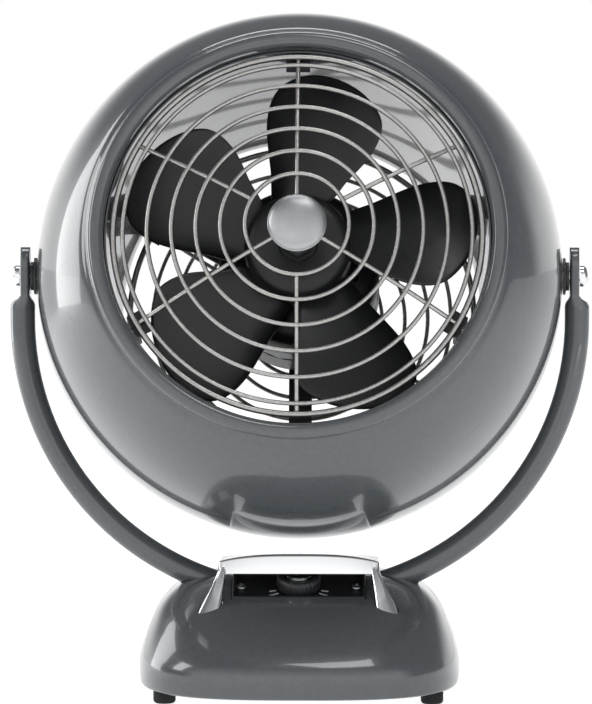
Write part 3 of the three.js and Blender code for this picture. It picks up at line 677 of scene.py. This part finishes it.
duct = bmesh.new()
turn(duct, [[95.1, -80], [96, -80], [96, 80], [95.1, 80]], HEAD, 160)
fit("duct", duct, ENAMEL, "head", "grey_enamel", "inner_duct")

# ---- Wire grilles --------------------------------------------------------------------------------
# Each grille is a dome of round wire rings, spot-welded to six spokes behind them and to a thicker rim
# ring. They are nickelled to a satin, and three bent clips screwed to the duct hold the front one.
RIM_R = 91.6
RINGS = 6
RING_PITCH = 12.2
FRONT_FIRST = 25.6
REAR_FIRST = 18.4
SPOKE_DROP = 1.7
WIRE_R = 1.15
RIM_WIRE_R = 1.6
FRONT_DOME = (105, 84)
REAR_DOME = (97, 83)
LONG_HOURS = (0, 120, 240)
SHORT_HOURS = (60, 180, 300)

# Satin nickel: a warm pale metal with a soft, slightly uneven gloss.
NICKEL = grain(coat("satin_nickel_plate", "#b9b8b5", Metallic=1.0), 1.5, tones=("#b1b0ad", "#c2c1be"),
               rough=(0.26, 0.38), bump=0.015)


def dome_at(profile, r):
    """How far from the pivot a domed grille lies at a radius."""
    return profile[0] - (profile[0] - profile[1]) * (r / RIM_R) ** 2


def wire_ring(bm, r, d, wire):
    """A ring of round wire about the fan's axis."""
    turn(bm, arc(r, d, wire, 0, 330, 11), HEAD, 120)


def spoke(bm, profile, start, side, degrees):
    """A round spoke that follows a grille's dome behind its rings; side is 1 in front, -1 behind."""
    turned = hour(degrees)

    def place(u, v):
        r = start + (RIM_R - start) * v
        d = side * (dome_at(profile, r) - SPOKE_DROP)
        return turned @ (Vector((cos(2 * pi * u) * WIRE_R, r, d + sin(2 * pi * u) * WIRE_R)) * MM) / MM
    sheet(bm, 12, 16, place)
    close_ends(bm)


front = bmesh.new()
for i in range(RINGS):
    r = FRONT_FIRST + RING_PITCH * i
    wire_ring(front, r, dome_at(FRONT_DOME, r), WIRE_R)
wire_ring(front, RIM_R, FRONT_DOME[1], RIM_WIRE_R)
for degrees in LONG_HOURS:
    spoke(front, FRONT_DOME, 4.5, 1, degrees)
for degrees in SHORT_HOURS:
    spoke(front, FRONT_DOME, FRONT_FIRST, 1, degrees)
fit("front_guard", front, NICKEL, "head", "satin_nickel", "front_grille")

rear = bmesh.new()
for i in range(RINGS):
    r = REAR_FIRST + RING_PITCH * i
    wire_ring(rear, r, -dome_at(REAR_DOME, r), WIRE_R)
wire_ring(rear, RIM_R, -REAR_DOME[1], RIM_WIRE_R)
for degrees in LONG_HOURS + SHORT_HOURS:
    spoke(rear, REAR_DOME, 10, -1, degrees)
turn(rear, [[0, -93.6], [14.5, -93.6], [15, -94], [15, -94.6], [14.5, -95], [0, -95.3]], HEAD, 64)
fit("rear_guard", rear, NICKEL, "head", "satin_nickel", "rear_grille")

# Spun and lacquered nickel: a pale metal with a broad, soft gloss, drawn out by the spinning.
CAP_METAL = coat("spun_nickel", "#b8b9ba", Metallic=1.0, Anisotropic=0.5)
grain(CAP_METAL, 6, tones=("#b4b6b8", "#bebfc0"), rough=(0.38, 0.44), bump=0.004)
cap_mesh = bmesh.new()
turn(cap_mesh, [[0, 96.4], [2, 96.4], [2, 103.6], [13.4, 103.6], [13.4, 104.2], [14.3, 104.2],
                *arc(13.9, 105.1, 0.75, -40, 70, 5), *[[r, 105.75 + 4.05 * sqrt(1 - (r / 14.2) ** 2)]
                                                      for r in (13.9, 13.2, 12, 10.5, 8.6, 6.4, 4, 1.6)],
                [0, 109.8]], HEAD, 96)
fit("hub_cap_dome", cap_mesh, CAP_METAL, "head", "chrome", "hub_cap", sharp=50)
disc = bmesh.new()
turn(disc, [[2.4, 99.9], [13.4, 99.9], [13.4, 101.3], [2.4, 101.3]], HEAD, 64)
soften(disc, 0.3)
fit("grille_plate", disc, NICKEL, "head", "satin_nickel", "grille_centre_plate")

# ---- Motor ---------------------------------------------------------------------------------------
# A shaded-pole motor between two pressed bells, painted black, on a spider of three arms. Its laminated
# core shows as a bright band between the bells. Each bell has a ring of cooling slots.
MOTOR_FRONT = 26
MOTOR_REAR = -44
MOTOR_MID = (MOTOR_FRONT + MOTOR_REAR) / 2
BELL_EDGE = MOTOR_MID + 7.0
SLOTS = 12

# Semi-gloss black paint on pressed steel: even, with a light sprayed texture.
BLACK_PAINT = grain(coat("semi_gloss_black_paint", "#1c1d1f", IOR=1.5), 1.2,
                    tones=("#191a1c", "#212224"), rough=(0.32, 0.46), bump=0.03)

for name, side in (("front", 1), ("rear", -1)):
    bell = bmesh.new()
    outline = [[6, 26], [33, 26], [36.5, 25], [39.4, 22.4], [41, 18.6], [41, BELL_EDGE],
               [39, BELL_EDGE], [39, 18], [37.4, 21.2], [33, 24], [12, 24], [12, 13], [9.35, 13],
               [9.35, 23.5], [6, 23.5]]
    turn(bell, [[r, MOTOR_MID + side * (d - MOTOR_MID)] for r, d in outline], HEAD, 96)
    slots = []
    low, high = sorted(MOTOR_MID + side * (d - MOTOR_MID) for d in (20, 30))
    for i in range(SLOTS):
        slot_mesh = bmesh.new()
        block(slot_mesh, (-1.6, 18, low), (1.6, 31, high), hour((i + 0.5) * 360 / SLOTS))
        slots.append(slot_mesh)
    fit(name + "_bell", combine(bell, slots), BLACK_PAINT, "head", "black_paint",
        "motor_" + name + "_bell")

# ---- Propeller -----------------------------------------------------------------------------------
# One moulding of glass-filled nylon: a round hub and five broad, cupped paddles with a straight leading
# edge and a round tip. A nut holds it on the motor's shaft.
BLADES = 5
FIRST_BLADE = -1
BLADE_D = 50
BLADE_PITCH = radians(24)
BLADE_HALF = 0.9
BLADE_CUP = 2.6
PADDLE = [[-12, 20], [-15.5, 45], [-17, 70], [-11, 86], [4, 92], [22, 88], [38, 76.5], [46.5, 61],
          [41, 46], [27, 33], [14, 22]]
PADDLE_MID = Vector((10, 58, 0))
EDGE = [(0, 1), (0.25, 1), (0.5, 1), (0.72, 1), (0.88, 1), (0.96, 1), (0.985, 0.8), (1, 0.25),
        (1, -0.25), (0.985, -0.8), (0.96, -1), (0.88, -1), (0.72, -1), (0.5, -1), (0.25, -1), (0, -1)]

# Glass-filled nylon: satin black with a faint milky grain.
NYLON = grain(coat("black_nylon_moulding", "#151617", IOR=1.53), 1.0, tones=("#121314", "#1a1b1c"),
              rough=(0.3, 0.4), bump=0.03)


def paddle(bm, degrees):
    """One cupped blade, pitched about its own radius and turned to its hour."""
    turned = hour(degrees) @ Matrix.Translation((0, 0, BLADE_D * MM))

    def place(u, v):
        spread, level = EDGE[round(v * (len(EDGE) - 1))]
        lap = (u % 1) * len(PADDLE)
        i = int(lap)
        near = [PADDLE[(i + k) % len(PADDLE)] for k in (-1, 0, 1, 2)]
        rim = Vector((*smooth_list(near, 1 + lap - i), 0))
        point = PADDLE_MID + (rim - PADDLE_MID) * spread
        cup = BLADE_CUP * (1 - spread ** 2) - 1.2
        twist = BLADE_PITCH * (1.12 - 0.12 * point.y / PADDLE_MID.y)
        lift = cup + level * BLADE_HALF
        pitched = Vector((point.x * cos(twist) - lift * sin(twist), point.y,
                          point.x * sin(twist) + lift * cos(twist)))
        return turned @ (pitched * MM) / MM
    sheet(bm, 88, len(EDGE) - 1, place)


hub = bmesh.new()
turn(hub, [[4.3, 39], [24, 39], [26.2, 40.6], [27, 43], [27, 60], [26.4, 62.6], [24.6, 65], [21.6, 66.6],
           [19, 67], [10, 67], [9.4, 65.6], [4.3, 65.6]], HEAD, 96)
paddles = []
for i in range(BLADES):
    one = bmesh.new()
    paddle(one, FIRST_BLADE + 360 / BLADES * i)
    paddles.append(one)
bore = bmesh.new()
rod(bore, 4.3, 30, 80, HEAD)
fit("blades", combine(combine(hub, paddles, "UNION"), [bore]), NYLON, "rotor", "black_paint",
    "propeller")

# ---- Pivots --------------------------------------------------------------------------------------
# On either side a steel boss is welded inside the housing. A black washered spacer sits between the
# housing and the yoke's tab, and a chromed, domed screw runs through all of them.
for name, turn_by in (("right", 90), ("left", -90)):
    side_on = Matrix.Translation((0, 0, PIVOT_Z * MM)) @ Matrix.Rotation(radians(turn_by), 4, "Y")
    spacer = bmesh.new()
    turn(spacer, [[2.9, 135.35], [9.5, 135.35], [9.5, 136.5], [7.6, 136.7], [7.3, 137.1],
                  [7.3, 138.25], [2.9, 138.25]], side_on, 48)
    fit("spacer_" + name, spacer, BLACK_ABS, "head", "black_plastic", "pivot_spacer_" + name)
    screw_head("pivot_bolt_" + name, 5.6, 4.65, side_on @ Matrix.Translation((0, 0, 143.95 * MM)),
               CHROME, "head", "chrome", "pivot_screw_" + name, (2.5, 21.9))

# ---- Inner metalwork -----------------------------------------------------------------------------
# Flat and turned metal parts keep the shape they were designed with, and get their own finishes: the
# yoke's cradle and clamp, brackets, screws, clips, and what sits inside the motor and the switch.
# Enamelled copper wire: a deep orange brown gloss over closely laid turns.
COPPER = grain(coat("enamelled_copper_wire", "#8a4a28", Metallic=0.7, Coat_Weight=0.4), 0.8,
               tones=("#7a3f22", "#9a5630"), rough=(0.3, 0.45), bump=0.2, stretch=(1, 5, 5))
# Sintered bronze: oily brown metal, finely pitted.
BRONZE = grain(coat("sintered_bronze", "#86683c", Metallic=1.0), 0.4, tones=("#745830", "#947547"),
               rough=(0.4, 0.6), bump=0.1)
# Stacked laminations: bare electrical steel with fine lines along the stack.
LAMINATED = grain(coat("laminated_core_steel", "#7e8183", Metallic=1.0), 1.0,
                  tones=("#6a6d6f", "#939698"), rough=(0.35, 0.5), bump=0.15, stretch=(0.2, 3, 0.2))
KEPT = {
    ZINC: ["plate_screw_1", "plate_screw_2", "yoke_cradle", "yoke_clamp", "clamp_screw_1",
           "clamp_screw_2", "switch_bracket", "switch_nut", "hub_cap_nut", "propeller_nut",
           "clip_screw_1", "clip_screw_2", "clip_screw_3", "spider_screw_1", "spider_screw_2",
           "spider_screw_3"],
    STEEL: ["motor_shaft", "switch_shaft", "pivot_boss_right", "pivot_boss_left"],
    LAMINATED: ["stator_core", "rotor_core"],
    BLACK_PAINT: ["grille_clip_1", "grille_clip_2", "grille_clip_3", "motor_spider"],
    BLACK_ABS: ["switch_body"],
    COPPER: ["winding_front", "winding_rear"],
    BRONZE: ["bearing_front", "bearing_rear"],
}
for material, names in KEPT.items():
    for name in names:
        for slot in frame["nodes"][name].material_slots:
            slot.material = material
